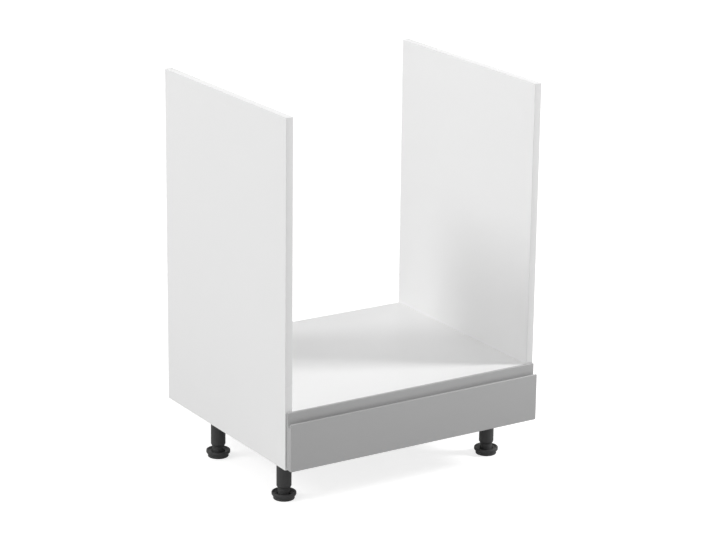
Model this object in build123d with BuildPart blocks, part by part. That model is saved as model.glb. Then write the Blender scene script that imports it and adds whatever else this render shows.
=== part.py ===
from build123d import *
import os

# Oven base cabinet, millimetres.
# The origin is on the floor under the middle of the cabinet. +X runs to the right as seen from the front,
# +Y to the back and +Z up. Pieces that come in pairs are drawn on the right and mirrored to the left.
os.makedirs("parts", exist_ok=True)

# Carcass boards
cabinet_width = 600.0        # over the outer faces of the two sides
carcass_height = 720.0       # height of the sides
carcass_depth = 490.0        # depth of the sides, edge band included
board = 16.0                 # melamine faced chipboard
shelf_level = 120.0          # top of the oven shelf above the underside of the carcass
band = 0.8                   # plastic edge band

# Knock-down fittings in the ends of the boards
cam_radius = 7.4             # cam housing
cam_height = 12.2
cam_reach = 34.0             # centre of the cam from the end of the board
cam_setback = 40.0           # outermost fitting from the front or back of the board
dowel_pitch = 112.0          # cam to dowel along the depth
rail_pitch = 32.0            # cam to dowel up the back rail
bolt_shank_radius = 3.5
bolt_thread_radius = 2.4
bolt_thread_length = 11.0
bolt_tip = 1.5               # end of the bolt past the centre of the cam
dowel_radius = 3.95
dowel_length = 30.0
dowel_in_side = 11.0
pin_sides = 8                # small round pieces and their bores have few sides, to keep the model light
cam_sides = 12
leg_sides = 32

# Drawer front, milled from one board with a J-shaped grip along its top
front_thickness = 18.0
front_gap = 2.0              # bumpers hold the front this far off the carcass
front_reveal = 2.0           # front to the outer face of the side, each side
front_lift = 2.0             # lower edge above the underside of the carcass
front_height = 121.0
front_round = 1.0            # softened outer edges
grip_height = 21.0           # top of the front to the top of the lip
grip_web = 5.0               # board left behind the finger groove
lip = 4.5                    # thickness of the lip in front of the groove
lip_round = 1.8
groove_depth = 10.0          # bottom of the groove below the top of the lip

# Drawer box
box_board = 16.0
box_height = 68.0
box_lift = 8.0               # underside of the box above the bottom panel
box_bottom = 3.0             # hardboard bottom
bottom_groove = 8.0          # depth of the groove that holds it
bottom_rise = 10.0           # groove above the lower edge of the box
box_dowel_low = 26.0         # corner dowels above the lower edge of the box
box_dowel_high = 54.0
front_screw_radius = 2.0
front_screw_length = 28.0
front_screw_head_radius = 4.2
front_screw_head_height = 2.2
front_screw_inset = 60.0     # front screws from the inside faces of the box sides
front_screw_low = 22.0       # front screws above the lower edge of the box
front_screw_high = 50.0
bumper_radius = 4.0
bumper_inset = 9.0           # bumper centres from the upper and lower edge of the front

# Telescopic runner: three rolled steel members with two ball cages
runner_setback = 2.0         # front end behind the front edge of the carcass
runner_end_gap = 22.0        # back end, and back of the drawer box, in front of the back rail
runner_width = 12.7          # from the carcass side to the drawer side
runner_height = 45.0
sheet = 1.2                  # steel of the three members
cage_sheet = 0.6
running_gap = 0.3            # between a member, a cage and a ball
outer_ball_radius = 2.1
inner_ball_radius = 1.7
bend = 0.9                   # inside radius of the rolled corners
cage_bend = 0.4
outer_flange = 9.4           # lips of the cabinet member from the carcass side
outer_lip = 1.6              # turned-in lip that keeps the balls on the race
outer_ball_reach = 5.8       # outer balls from the carcass side
middle_flange = 10.0         # lips of the middle member from the carcass side
middle_lip = 1.2
inner_ball_reach = 8.8       # inner balls from the carcass side
inner_flange = 5.9           # lips of the drawer member from the carcass side
inner_lip = 1.1
cage_length = 200.0
cage_start = 115.0           # front end of a cage behind the front end of its runner
cage_flange = 3.2            # cage sheet past the ball centres
cage_ball_count = 3          # in each of the two rows of a cage
cage_ball_margin = 14.0      # end balls from the ends of the cage
runner_screw_count = 3
runner_screw_margin = 35.0   # end screws from the ends of the runner
runner_screw_radius = 2.0
runner_screw_length = 12.0
sunk_head_radius = 3.1
pan_head_radius = 3.6
pan_head_height = 2.0
slot_length = 14.0           # oblong adjusting slots in the webs
slot_width = 4.6
slot_corner = 1.4
slot_count = 2
slot_margin = 110.0          # slots from the ends of the runner

# Legs
leg_height = 100.0           # floor to the underside of the carcass
leg_side_inset = 50.0        # leg axis from the outer face of the side
leg_front_inset = 89.0       # leg axis from the front edge of the carcass
leg_back_inset = 127.0       # leg axis from the back edge of the carcass
plate_size = 64.0
plate_thickness = 3.0
plate_corner = 8.0
plate_hole_pitch = 46.0
collar_wall = 3.3
collar_height = 14.0
gusset_count = 4
gusset_thickness = 2.4
gusset_reach = 9.0
gusset_height = 10.0
tube_radius = 15.5
tube_end = 24.5              # lower end of the tube above the floor
tube_chamfer = 1.9
tube_chamfer_height = 4.6
tube_cap = 3.0               # closed top of the tube
stem_radius = 12.85
stem_height = 62.0           # top of the stem above the floor
foot_radius = 22.1           # lower base of the foot
cup_radius = 25.5
cup_low = 8.6                # underside of the rim above the floor
cup_height = 15.0            # top of the rim above the floor
cup_wall = 4.4
cup_floor = 8.0              # inside floor of the cup above the floor
cup_draft = 2.0              # the cup narrows by this much down to its floor
cup_chamfer = 1.2
leg_screw_length = 14.0
leg_screw_radius = 1.9
leg_screw_head_radius = 3.9
leg_screw_head_height = 2.4

fit_gap = 0.1                # fixed pieces in their bores
collar_gap = 0.2             # leg tube in its collar

# Planes and lines that the sizes give
overall_depth = carcass_depth + front_gap + front_thickness
y_face = -overall_depth / 2
y_rear_of_front = y_face + front_thickness
y_front = y_rear_of_front + front_gap
y_core = y_front + band
y_back = y_front + carcass_depth
x_out = cabinet_width / 2
x_in = x_out - board
z_under = leg_height
z_floor = z_under + board
z_shelf = z_under + shelf_level
z_deck = z_shelf - board
z_top = z_under + carcass_height
z_core = z_top - band


def save(piece, name):
    """Label a finished piece and write it to its own file."""
    piece.label = name
    export_step(piece, f"parts/{name}.step")


def both_sides(piece, name):
    """Write a piece that is drawn on the right, and its mirror image on the left."""
    save(piece, name + "_right")
    with BuildPart() as left:
        mirror(piece, about=Plane.YZ)
    save(left.part, name + "_left")


def spread(count, first, last):
    """Evenly spaced places from first to last."""
    return [first + (last - first) * i / (count - 1) for i in range(count)]


def set_in(piece, places):
    """Copies of a piece, one at each place, as separate solids of one group."""
    with BuildPart() as group:
        with Locations(*places):
            add(piece)
    return group.part


def pin(outline, sides=pin_sides):
    """A many-sided pin along +Z through (radius over the corners, height) points, from its lower end up."""
    with BuildPart() as piece:
        for (low_radius, low), (high_radius, high) in zip(outline, outline[1:]):
            if high > low:
                with BuildSketch(Plane.XY.offset(low)):
                    RegularPolygon(low_radius, sides)
                with BuildSketch(Plane.XY.offset(high)):
                    RegularPolygon(high_radius, sides)
                loft(ruled=True)
    return piece.part


def bores(radius, depth, places, sides=pin_sides):
    """Cutters for the bores of such pins, which go in against the direction of each place."""
    bore_radius = radius + fit_gap
    return set_in(pin([(bore_radius, -depth - fit_gap), (bore_radius, fit_gap)], sides), places)


def facing(point, direction, x_dir=None):
    """The place at a point whose +Z looks in a direction."""
    return Plane(origin=point, x_dir=x_dir, z_dir=direction).location


def block(x_range, y_range, z_range):
    """A plain board between two corners."""
    with BuildPart() as piece:
        with BuildSketch(Plane.XY.offset(z_range[0])):
            with Locations(((x_range[0] + x_range[1]) / 2, (y_range[0] + y_range[1]) / 2)):
                Rectangle(x_range[1] - x_range[0], y_range[1] - y_range[0])
        extrude(amount=z_range[1] - z_range[0])
    return piece.part


# Where the fittings sit: along the depth of the bottom panel and the shelf, and up the back rail
deck_cams = [y_front + cam_setback, y_back - board - cam_setback]
deck_dowels = [deck_cams[0] + dowel_pitch, deck_cams[1] - dowel_pitch]
rail_cam = (z_floor + z_deck) / 2 + rail_pitch / 2
rail_dowel = (z_floor + z_deck) / 2 - rail_pitch / 2
rail_y = y_back - board / 2
board_undersides = [z_under, z_deck]
bolt_ends = [(y, z + board / 2) for z in board_undersides for y in deck_cams] + [(rail_y, rail_cam)]
dowel_ends = [(y, z + board / 2) for z in board_undersides for y in deck_dowels] + [(rail_y, rail_dowel)]

# Where the runners and their screws sit
y_runner = y_front + runner_setback
y_runner_end = y_back - board - runner_end_gap
runner_length = y_runner_end - y_runner
z_box = z_floor + box_lift
z_box_top = z_box + box_height
z_runner = (z_box + z_box_top) / 2
runner_screws = spread(
    runner_screw_count, y_runner + runner_screw_margin, y_runner_end - runner_screw_margin
)

# Where the legs stand
x_leg = x_out - leg_side_inset
y_front_leg = y_front + leg_front_inset
y_back_leg = y_back - leg_back_inset
legs = {
    "front_left": (-x_leg, y_front_leg),
    "front_right": (x_leg, y_front_leg),
    "back_left": (-x_leg, y_back_leg),
    "back_right": (x_leg, y_back_leg),
}
half_pitch = plate_hole_pitch / 2
plate_holes = [(sx * half_pitch, sy * half_pitch) for sx in (-1, 1) for sy in (-1, 1)]
leg_screw_points = [(x + dx, y + dy) for x, y in legs.values() for dx, dy in plate_holes]

# Side panel, drawn on the right, with the bores for its bolts, dowels and runner screws
with BuildPart() as side:
    add(block((x_in, x_out), (y_core, y_back), (z_under, z_core)))
    for radius, depth, ends in (
        (bolt_thread_radius, bolt_thread_length, bolt_ends),
        (dowel_radius, dowel_in_side, dowel_ends),
        (runner_screw_radius, runner_screw_length - sheet, [(y, z_runner) for y in runner_screws]),
    ):
        add(bores(radius, depth, [facing((x_in, y, z), (-1, 0, 0)) for y, z in ends]), mode=Mode.SUBTRACT)
both_sides(side.part, "side_panel")

# Edge bands: a strip down the front edge of each side, one along its top edge, one on each board's front
both_sides(block((x_in, x_out), (y_front, y_core), (z_under, z_top)), "edge_band_front")
both_sides(block((x_in, x_out), (y_core, y_back), (z_core, z_top)), "edge_band_top")
save(block((-x_in, x_in), (y_front, y_core), (z_deck, z_shelf)), "edge_band_shelf")
save(block((-x_in, x_in), (y_front, y_core), (z_under, z_floor)), "edge_band_bottom")


def joined_ends(panel, cam_places, bolt_places, dowel_places):
    """A board with the bores for its cams, cam bolts and dowels."""
    with BuildPart() as bored:
        add(panel)
        add(bores(cam_radius, cam_height, cam_places, cam_sides), mode=Mode.SUBTRACT)
        add(bores(bolt_shank_radius, cam_reach, bolt_places), mode=Mode.SUBTRACT)
        add(bores(dowel_radius, dowel_length - dowel_in_side, dowel_places), mode=Mode.SUBTRACT)
    return bored.part


def deck_board(z_low):
    """A board between the sides, its cams let in from below."""
    middle = z_low + board / 2
    return joined_ends(
        block((-x_in, x_in), (y_core, y_back), (z_low, z_low + board)),
        [facing((end * (x_in - cam_reach), y, z_low), (0, 0, -1)) for end in (-1, 1) for y in deck_cams],
        [facing((end * x_in, y, middle), (end, 0, 0)) for end in (-1, 1) for y in deck_cams],
        [facing((end * x_in, y, middle), (end, 0, 0)) for end in (-1, 1) for y in deck_dowels],
    )


# Oven shelf, and the bottom panel with the pilot bores of the leg screws
save(deck_board(z_deck), "oven_shelf")
leg_screw_bores = [facing((x, y, z_under), (0, 0, -1)) for x, y in leg_screw_points]
with BuildPart() as bottom:
    add(deck_board(z_under))
    add(bores(leg_screw_radius, leg_screw_length - plate_thickness, leg_screw_bores), mode=Mode.SUBTRACT)
save(bottom.part, "bottom_panel")

# Back rail, on edge between the bottom panel and the shelf, its cams let in from the back
back_rail = joined_ends(
    block((-x_in, x_in), (y_back - board, y_back), (z_floor, z_deck)),
    [facing((end * (x_in - cam_reach), y_back, rail_cam), (0, 1, 0)) for end in (-1, 1)],
    [facing((end * x_in, rail_y, rail_cam), (end, 0, 0)) for end in (-1, 1)],
    [facing((end * x_in, rail_y, rail_dowel), (end, 0, 0)) for end in (-1, 1)],
)
save(back_rail, "back_rail")

# Cam housing: +Z into the board from its open face, +X towards the end of the board
bolt_mouth = facing((cam_radius, 0, board / 2), (1, 0, 0))
with BuildPart() as cam:
    add(pin([(cam_radius, 0), (cam_radius, cam_height)], cam_sides))
    add(bores(bolt_shank_radius, cam_radius + bolt_tip, [bolt_mouth]), mode=Mode.SUBTRACT)
cam_places = [
    facing((end * (x_in - cam_reach), y, z), (0, 0, 1), (end, 0, 0))
    for end in (-1, 1) for z in board_undersides for y in deck_cams
] + [facing((end * (x_in - cam_reach), y_back, rail_cam), (0, -1, 0), (end, 0, 0)) for end in (-1, 1)]
save(set_in(cam.part, cam_places), "cam_housings")

# Cam bolt: threaded into the side below its origin, its other end held in the cam
bolt = pin([
    (bolt_thread_radius, -bolt_thread_length), (bolt_thread_radius, 0),
    (bolt_shank_radius, 0), (bolt_shank_radius, cam_reach + bolt_tip),
])
save(
    set_in(bolt, [facing((end * x_in, y, z), (-end, 0, 0)) for end in (-1, 1) for y, z in bolt_ends]),
    "cam_bolts",
)

# Beech dowels, glued into the sides
dowel = pin([(dowel_radius, -dowel_in_side), (dowel_radius, dowel_length - dowel_in_side)])
save(
    set_in(dowel, [facing((end * x_in, y, z), (-end, 0, 0)) for end in (-1, 1) for y, z in dowel_ends]),
    "dowels",
)

# Drawer front: the J grip is a recess along the top with a round-bottomed groove behind a thin lip.
z_front_low = z_under + front_lift
z_front_top = z_front_low + front_height
z_lip = z_front_top - grip_height
y_web = y_rear_of_front - grip_web
y_lip = y_face + lip
groove_radius = (y_web - y_lip) / 2
z_groove = z_lip - groove_depth + groove_radius
x_front = x_out - front_reveal
y_box_front = y_rear_of_front
x_box = x_in - runner_width
x_box_in = x_box - box_board
front_screw_points = [
    (end * (x_box_in - front_screw_inset), z_box + rise)
    for end in (-1, 1) for rise in (front_screw_low, front_screw_high)
]
with BuildPart() as front:
    with BuildSketch(Plane.YZ.offset(-x_front)) as profile:
        with BuildLine():
            Polyline((y_web, z_groove), (y_web, z_front_top), (y_rear_of_front, z_front_top),
                     (y_rear_of_front, z_front_low), (y_face, z_front_low), (y_face, z_lip),
                     (y_lip, z_lip), (y_lip, z_groove))
            groove_low = ((y_lip + y_web) / 2, z_groove - groove_radius)
            ThreePointArc((y_lip, z_groove), groove_low, (y_web, z_groove))
        make_face()
        lip_corners = profile.vertices().filter_by(lambda v: abs(v.Y - z_lip) < fit_gap)
        low_corner = profile.vertices().group_by(Axis.Y)[0].sort_by(Axis.X)[0:1]
        top_corners = profile.vertices().group_by(Axis.Y)[-1]
        fillet(lip_corners, lip_round)
        fillet(low_corner + top_corners, front_round)
    extrude(amount=2 * x_front)
    with BuildSketch(Plane.XY.offset(z_front_low)) as plan:
        with Locations((0, y_face + front_thickness / 2)):
            Rectangle(2 * x_front, front_thickness)
        fillet(plan.vertices().group_by(Axis.Y)[0], front_round)
    extrude(amount=front_height, mode=Mode.INTERSECT)
    add(bores(
        front_screw_radius, front_screw_length - box_board,
        [facing((x, y_rear_of_front, z), (0, 1, 0)) for x, z in front_screw_points],
    ), mode=Mode.SUBTRACT)
save(front.part, "drawer_front")

# Drawer box: sides run full length, front and back boards stand between them
y_box_back = y_runner_end
z_groove_low = z_box + bottom_rise
z_groove_walls = (z_groove_low, z_groove_low + box_bottom + 2 * fit_gap)
box_dowel_heights = [z_box + box_dowel_low, z_box + box_dowel_high]
box_dowel_lines = [y_box_front + box_board / 2, y_box_back - box_board / 2]
box_dowel_points = [(y, z) for y in box_dowel_lines for z in box_dowel_heights]
side_dowel_bores = [facing((x_box_in, y, z), (-1, 0, 0)) for y, z in box_dowel_points]
side_screw_bores = [facing((x_box, y, z_runner), (1, 0, 0)) for y in runner_screws]
with BuildPart() as box_side:
    add(block((x_box_in, x_box), (y_box_front, y_box_back), (z_box, z_box_top)))
    groove = block((x_box_in, x_box_in + bottom_groove), (y_box_front, y_box_back), z_groove_walls)
    add(groove, mode=Mode.SUBTRACT)
    add(bores(dowel_radius, dowel_in_side, side_dowel_bores), mode=Mode.SUBTRACT)
    add(bores(runner_screw_radius, runner_screw_length - sheet, side_screw_bores), mode=Mode.SUBTRACT)
both_sides(box_side.part, "drawer_side")


def box_end(y_low, groove_at_back):
    """The board at the front or back of the box, grooved on its inner face."""
    y_groove = y_low + box_board - bottom_groove if groove_at_back else y_low
    with BuildPart() as piece:
        add(block((-x_box_in, x_box_in), (y_low, y_low + box_board), (z_box, z_box_top)))
        groove = block((-x_box_in, x_box_in), (y_groove, y_groove + bottom_groove), z_groove_walls)
        add(groove, mode=Mode.SUBTRACT)
        places = [
            facing((end * x_box_in, y_low + box_board / 2, z), (end, 0, 0))
            for end in (-1, 1) for z in box_dowel_heights
        ]
        add(bores(dowel_radius, dowel_length - dowel_in_side, places), mode=Mode.SUBTRACT)
    return piece.part


front_screw_places = [facing((x, y_box_front + box_board, z), (0, 1, 0)) for x, z in front_screw_points]
with BuildPart() as subfront:
    add(box_end(y_box_front, True))
    add(bores(front_screw_radius, box_board, front_screw_places), mode=Mode.SUBTRACT)
save(subfront.part, "drawer_subfront")
save(box_end(y_box_back - box_board, False), "drawer_back")

# Hardboard bottom, held in the groove all round
x_bottom = x_box_in + bottom_groove - fit_gap
groove_reach = box_board - bottom_groove + fit_gap
y_bottom = (y_box_front + groove_reach, y_box_back - groove_reach)
z_bottom = z_groove_low + fit_gap
save(block((-x_bottom, x_bottom), y_bottom, (z_bottom, z_bottom + box_bottom)), "drawer_bottom")

# Dowels in the corners of the box
box_dowel_places = [
    facing((end * x_box_in, y, z), (-end, 0, 0)) for end in (-1, 1) for y, z in box_dowel_points
]
save(set_in(dowel, box_dowel_places), "box_dowels")


def pan_screw(length, radius, head_radius, head_height):
    """Screw whose flat head stands above its origin, with the shank below it."""
    return pin([(radius, -length), (radius, 0), (head_radius, 0), (head_radius, head_height)])


# Screws that hold the front to the box, driven from inside the drawer
front_screw = pan_screw(
    front_screw_length, front_screw_radius, front_screw_head_radius, front_screw_head_height
)
save(set_in(front_screw, front_screw_places), "front_screws")

# Bumpers on the back of the front, where it meets the front edges of the sides
bumper = pin([(bumper_radius, 0), (bumper_radius, front_gap - fit_gap)], cam_sides)
bumper_points = [
    (end * (x_in + board / 2), z)
    for end in (-1, 1) for z in (z_front_low + bumper_inset, z_front_top - bumper_inset)
]
save(
    set_in(bumper, [facing((x, y_rear_of_front, z), (0, 1, 0)) for x, z in bumper_points]),
    "front_bumpers",
)


def rolled(half_path, inside_bend, thickness, y_low, length):
    """A rolled section along the depth. half_path is the upper half of the sheet's middle line, from lip
    to web, as (reach from the carcass side, height above the runner's middle) points."""
    upper = [(x_in - reach, z_runner + height) for reach, height in half_path]
    lower = [(x_in - reach, z_runner - height) for reach, height in reversed(half_path)]
    with BuildPart() as member:
        with BuildSketch(Plane.XZ.offset(-y_low)):
            with BuildLine():
                FilletPolyline(*upper, *lower, radius=inside_bend + thickness / 2)
            trace(line_width=thickness)
        extrude(amount=-length)
    return member.part


# Heights above the runner's middle line, from the outside in: race, ball, race, ball, race
v_outer = runner_height / 2
v_outer_ball = v_outer - sheet - running_gap - outer_ball_radius
v_middle = v_outer_ball - outer_ball_radius - running_gap
v_inner_ball = v_middle - sheet - running_gap - inner_ball_radius
v_inner = v_inner_ball - inner_ball_radius - running_gap
u_outer_cage = sheet + running_gap
u_middle = u_outer_cage + cage_sheet + running_gap
u_inner_cage = u_middle + sheet + running_gap
v_outer_line = v_outer - sheet / 2
v_middle_line = v_middle - sheet / 2
v_inner_line = v_inner - sheet / 2
slots = spread(slot_count, y_runner + slot_margin, y_runner_end - slot_margin)


def slot_row(x):
    """Cutters for the oblong slots in a web at x."""
    with BuildPart() as cutters:
        with BuildSketch(Plane.YZ.offset(x - sheet)) as row:
            with Locations(*[(y, z_runner) for y in slots]):
                Rectangle(slot_length, slot_width)
            chamfer(row.vertices(), slot_corner)
        extrude(amount=3 * sheet)
    return cutters.part


# Cabinet member: lips turned in over the balls, screw holes sunk in the web
sunk_depth = sunk_head_radius - runner_screw_radius
sunk_bore = pin([
    (runner_screw_radius + fit_gap, -2 * sheet), (runner_screw_radius + fit_gap, -sunk_depth),
    (sunk_head_radius + fit_gap, 0),
])
with BuildPart() as outer_member:
    add(rolled(
        [(outer_flange, v_outer_line - outer_lip), (outer_flange - outer_lip, v_outer_line),
         (sheet / 2, v_outer_line)],
        bend, sheet, y_runner, runner_length,
    ))
    add(set_in(sunk_bore, [facing((x_in - sheet, y, z_runner), (-1, 0, 0)) for y in runner_screws]),
        mode=Mode.SUBTRACT)
    add(slot_row(x_in - sheet), mode=Mode.SUBTRACT)
both_sides(outer_member.part, "runner_outer")

# Middle member: lips turned out, so the outer balls run over it and the inner balls under it
middle_member = rolled(
    [(middle_flange, v_middle_line + middle_lip), (middle_flange - middle_lip, v_middle_line),
     (u_middle + sheet / 2, v_middle_line)],
    bend, sheet, y_runner, runner_length,
)
both_sides(middle_member, "runner_middle")


# Drawer member: opens towards the carcass, its web screwed to the side of the drawer box
with BuildPart() as inner_member:
    add(rolled(
        [(inner_flange, v_inner_line + inner_lip), (inner_flange + inner_lip, v_inner_line),
         (runner_width - sheet / 2, v_inner_line)],
        bend, sheet, y_runner, runner_length,
    ))
    web_places = [facing((x_box + sheet, y, z_runner), (1, 0, 0)) for y in runner_screws]
    add(bores(runner_screw_radius, sheet, web_places), mode=Mode.SUBTRACT)
    add(slot_row(x_box + sheet), mode=Mode.SUBTRACT)
both_sides(inner_member.part, "runner_inner")


def ball(radius):
    """A steel ball with eight flats round each axis."""
    with BuildPart() as piece:
        for number, plane in enumerate((Plane.XY, Plane.YZ, Plane.XZ)):
            with BuildSketch(plane):
                RegularPolygon(radius, pin_sides, major_radius=False, rotation=180 / pin_sides)
            extrude(amount=radius, both=True, mode=Mode.INTERSECT if number else Mode.ADD)
    return piece.part


def ball_cage(u_web, v_ball, u_ball, ball_radius):
    """A channel of thin sheet that spaces two rows of balls, and the balls that sit in it."""
    y_low = y_runner + cage_start
    rows = spread(cage_ball_count, y_low + cage_ball_margin, y_low + cage_length - cage_ball_margin)
    places = [(x_in - u_ball, y, z_runner + row * v_ball) for y in rows for row in (-1, 1)]
    pocket = 2 * (ball_radius + running_gap)
    with BuildPart() as cage:
        add(rolled(
            [(u_ball + cage_flange, v_ball), (u_web + cage_sheet / 2, v_ball)],
            cage_bend, cage_sheet, y_low, cage_length,
        ))
        with BuildSketch(Plane.XY.offset(z_runner)):
            with Locations(*[(x_in - u_ball, y) for y in rows]):
                Rectangle(pocket, pocket)
        extrude(amount=v_outer, both=True, mode=Mode.SUBTRACT)
    with BuildPart() as balls:
        with Locations(*places):
            add(ball(ball_radius))
    return cage.part, balls.part


outer_cage, outer_balls = ball_cage(u_outer_cage, v_outer_ball, outer_ball_reach, outer_ball_radius)
inner_cage, inner_balls = ball_cage(u_inner_cage, v_inner_ball, inner_ball_reach, inner_ball_radius)
both_sides(outer_cage, "cage_outer")
both_sides(outer_balls, "balls_outer")
both_sides(inner_cage, "cage_inner")
both_sides(inner_balls, "balls_inner")

# Runner screws: sunk heads on the carcass side, low round heads inside the drawer member
sunk_screw = pin([
    (runner_screw_radius, -runner_screw_length), (runner_screw_radius, -sunk_depth), (sunk_head_radius, 0),
])
save(
    set_in(sunk_screw, [
        facing((end * (x_in - sheet), y, z_runner), (-end, 0, 0)) for end in (-1, 1) for y in runner_screws
    ]),
    "runner_screws_cabinet",
)
box_side_screw = pan_screw(runner_screw_length, runner_screw_radius, pan_head_radius, pan_head_height)
save(
    set_in(box_side_screw, [
        facing((end * (x_box + sheet), y, z_runner), (end, 0, 0)) for end in (-1, 1) for y in runner_screws
    ]),
    "runner_screws_drawer",
)

# Leg socket: a screwed plate with a collar for the tube, stiffened by four gussets
z_plate = z_under - plate_thickness
collar_bore = tube_radius + collar_gap
collar_radius = collar_bore + collar_wall
gusset_root = collar_bore + collar_wall / 2
with BuildPart() as gusset:
    with BuildSketch(Plane.XZ):
        with BuildLine():
            Polyline((gusset_root, z_plate), (collar_radius + gusset_reach, z_plate),
                     (collar_radius, z_plate - gusset_height), (gusset_root, z_plate - gusset_height),
                     close=True)
        make_face()
    extrude(amount=gusset_thickness / 2, both=True)
with BuildPart() as socket:
    with BuildSketch(Plane.XY.offset(z_plate)) as plate_outline:
        Rectangle(plate_size, plate_size)
        chamfer(plate_outline.vertices(), plate_corner)
        with Locations(*plate_holes):
            RegularPolygon(leg_screw_radius + fit_gap, pin_sides, mode=Mode.SUBTRACT)
    extrude(amount=plate_thickness)
    with BuildSketch(Plane.XY.offset(z_plate)):
        RegularPolygon(collar_radius, leg_sides)
        RegularPolygon(collar_bore, leg_sides, mode=Mode.SUBTRACT)
    extrude(amount=-collar_height)
    with PolarLocations(0, gusset_count):
        add(gusset.part)

# Leg tube: closed at the top, its lower end drawn in to the stem
stem_bore = stem_radius + running_gap
with BuildPart() as tube:
    add(pin([
        (tube_radius - tube_chamfer, tube_end), (tube_radius, tube_end + tube_chamfer_height),
        (tube_radius, z_plate),
    ], leg_sides))
    stem_room = pin([(stem_bore, tube_end - fit_gap), (stem_bore, z_plate - tube_cap)], leg_sides)
    add(stem_room, mode=Mode.SUBTRACT)

# Levelling foot: a dished cup on a smaller base, with the screw stem standing in it
cup_inside = cup_radius - cup_wall
with BuildPart() as foot:
    add(pin([
        (foot_radius, 0), (foot_radius, cup_low), (cup_radius, cup_low),
        (cup_radius, cup_height - cup_chamfer), (cup_radius - cup_chamfer, cup_height),
    ], leg_sides))
    add(pin([(cup_inside - cup_draft, cup_floor), (cup_inside, cup_height)], leg_sides), mode=Mode.SUBTRACT)
    add(pin([(stem_radius, 0), (stem_radius, stem_height)], leg_sides))

for name, (x, y) in legs.items():
    save(set_in(socket.part, [(x, y, 0)]), f"leg_plate_{name}")
    save(set_in(tube.part, [(x, y, 0)]), f"leg_tube_{name}")
    save(set_in(foot.part, [(x, y, 0)]), f"foot_{name}")

leg_screw = pan_screw(leg_screw_length, leg_screw_radius, leg_screw_head_radius, leg_screw_head_height)
save(set_in(leg_screw, [facing((x, y, z_plate), (0, 0, -1)) for x, y in leg_screw_points]), "leg_screws")
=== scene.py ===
# %% [markdown]
# # An oven base cabinet, dressed for a studio picture
# The cabinet is a white open box on four black legs: two tall sides, a shelf that carries a built-in oven,
# and a grey drawer front with a milled grip below it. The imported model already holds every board, runner,
# leg and screw at its true size and place. This lesson gives each of them the finish of the real thing, and
# models again, with finer curves, the few pieces whose round forms catch the eye.

# %% Load the frame
import math

import bmesh
import bpy
from mathutils import Euler, Matrix, Vector


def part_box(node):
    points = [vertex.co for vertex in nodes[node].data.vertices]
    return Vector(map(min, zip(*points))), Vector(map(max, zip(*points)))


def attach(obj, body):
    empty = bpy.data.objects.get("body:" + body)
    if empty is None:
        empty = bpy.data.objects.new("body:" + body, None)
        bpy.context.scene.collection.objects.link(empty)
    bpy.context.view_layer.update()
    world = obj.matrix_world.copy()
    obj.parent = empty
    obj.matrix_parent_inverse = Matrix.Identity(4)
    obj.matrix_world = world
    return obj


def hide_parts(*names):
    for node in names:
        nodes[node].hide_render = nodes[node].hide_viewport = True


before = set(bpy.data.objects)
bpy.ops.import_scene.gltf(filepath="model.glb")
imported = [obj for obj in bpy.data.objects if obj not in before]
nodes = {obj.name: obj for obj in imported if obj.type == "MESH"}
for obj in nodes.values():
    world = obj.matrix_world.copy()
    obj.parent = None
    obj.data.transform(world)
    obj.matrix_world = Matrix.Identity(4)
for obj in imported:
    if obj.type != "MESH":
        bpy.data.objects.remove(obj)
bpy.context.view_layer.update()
scene = bpy.context.scene
print("nodes in the frame:", len(nodes))

# %% [markdown]
# ## The camera
# The picture was taken from the front left, a little above the cabinet, with a long lens. A long lens keeps
# upright edges nearly parallel, which suits furniture. The place and the turn below were fitted to the
# corners of the cabinet. Angles are easier to read as turn, tilt and roll than as a matrix.

# %% Camera
CAMERA_PLACE = (-2.7253, -4.3336, 1.9882)
CAMERA_TURN = math.radians(32.30)
CAMERA_TILT = math.radians(17.155)
CAMERA_ROLL = math.radians(0.665)
CAMERA_LENS = 129.25
SENSOR_WIDTH = 36.0

camera_data = bpy.data.cameras.new("camera")
camera_data.lens = CAMERA_LENS
camera_data.sensor_width = SENSOR_WIDTH
camera = bpy.data.objects.new("camera", camera_data)
facing = Euler((math.pi / 2 - CAMERA_TILT, 0.0, -CAMERA_TURN)).to_matrix()
camera.matrix_world = (facing @ Matrix.Rotation(CAMERA_ROLL, 3, "Z")).to_4x4()
camera.location = CAMERA_PLACE
scene.collection.objects.link(camera)
scene.camera = camera
print("camera lens", camera_data.lens, "mm")

# %% [markdown]
# ## Nodes
# The world, the floor and every finish are built from nodes, small steps whose outputs feed the inputs of
# others. An input, called a socket, holds either a value or a link. Three helpers say this in few words.

# %% Node tools
def link(tree, pairs):
    """Join (output, input) sockets."""
    for output, entry in pairs:
        tree.links.new(output, entry)


def feed(tree, entry, value):
    """Set an input socket to a value, or join another socket to it."""
    if isinstance(value, bpy.types.NodeSocket):
        tree.links.new(value, entry)
    else:
        entry.default_value = value


def math_node(tree, operation, *values):
    """The result of a sum on values, each a number or a socket."""
    node = tree.nodes.new("ShaderNodeMath")
    node.operation = operation
    for entry, value in zip(node.inputs, values):
        feed(tree, entry, value)
    return node.outputs[0]


print("node tools:", [tool.__name__ for tool in (link, feed, math_node)])

# %% [markdown]
# ## The studio
# White furniture on a white ground needs soft light that still separates its planes. A pale dome fills in
# from all around and is a little brighter on the left. It lights the cabinet at its own strength, but it
# shows as plain white to the camera and in reflections: Light Path tells the kinds of ray apart.

# %% World
DOME_LIGHT = 0.62
DOME_SLOPE = 0.49
DOME_LEFT = (-0.82, 0.57, 0.0)
PURE_WHITE = (1.0, 1.0, 1.0, 1.0)
scene.view_settings.view_transform = "Standard"


def shown_directly(tree):
    """1 for camera, glossy and transmission rays, else 0."""
    path = tree.nodes.new("ShaderNodeLightPath").outputs
    seen = math_node(tree, "MAXIMUM", path["Is Camera Ray"], path["Is Glossy Ray"])
    return math_node(tree, "MAXIMUM", seen, path["Is Transmission Ray"])


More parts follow.
